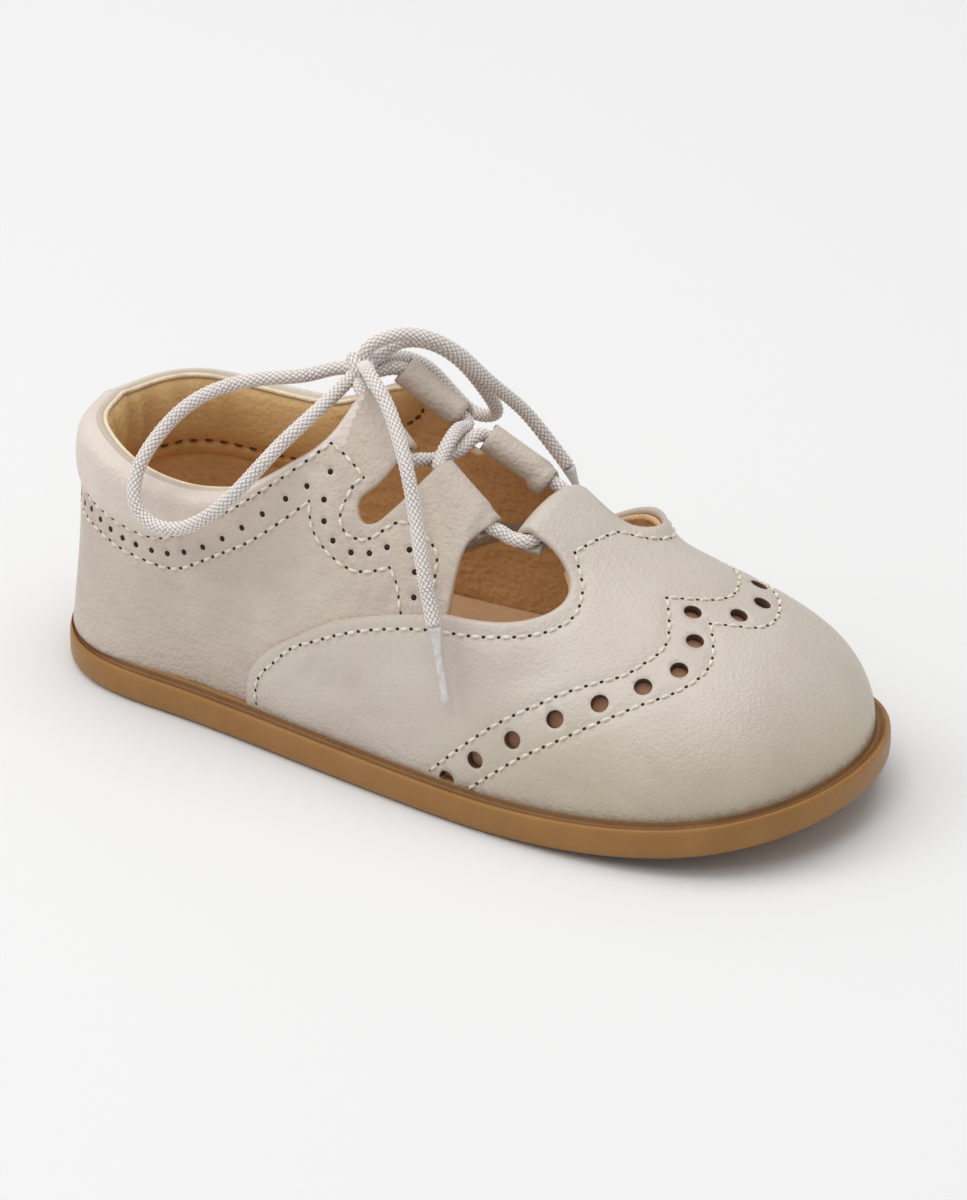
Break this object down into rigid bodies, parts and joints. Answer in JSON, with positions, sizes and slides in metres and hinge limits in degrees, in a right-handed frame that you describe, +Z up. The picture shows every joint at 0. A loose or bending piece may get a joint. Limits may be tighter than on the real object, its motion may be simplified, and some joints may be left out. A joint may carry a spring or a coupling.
{
  "type": "child's lace-up shoe",
  "caption": "Small right-foot shoe with a one-wall leather upper, wing-tip perforations, folded lace tabs, open front cut-outs, a tied round lace and a flat rubber sole.",
  "frame": {"origin": "middle of the shoe's plan, on the floor under its sole", "axes": "+X towards the toe, +Y towards the inner (medial) side of the foot, +Z up"},
  "size_m": [0.1319, 0.0566, 0.0595],
  "materials": {
    "sole_rubber": "satin caramel rubber",
    "sock_leather": "matt tan leather",
    "upper_leather": "soft satin beige leather",
    "lace_braid": "round waxed braid",
    "aglet_plastic": "clear to milky tip"
  },
  "bodies": {
    "root": {"outsole": "sole_rubber", "insole": "sock_leather", "upper": "upper_leather", "lace_crossings": "lace_braid", "lace_knot": "lace_braid", "lace_loop_lateral": "lace_braid", "lace_loop_medial": "lace_braid", "lace_end_lateral": "lace_braid", "lace_end_medial": "lace_braid", "aglet_lateral": "aglet_plastic", "aglet_medial": "aglet_plastic"}
  },
  "joints": []
}
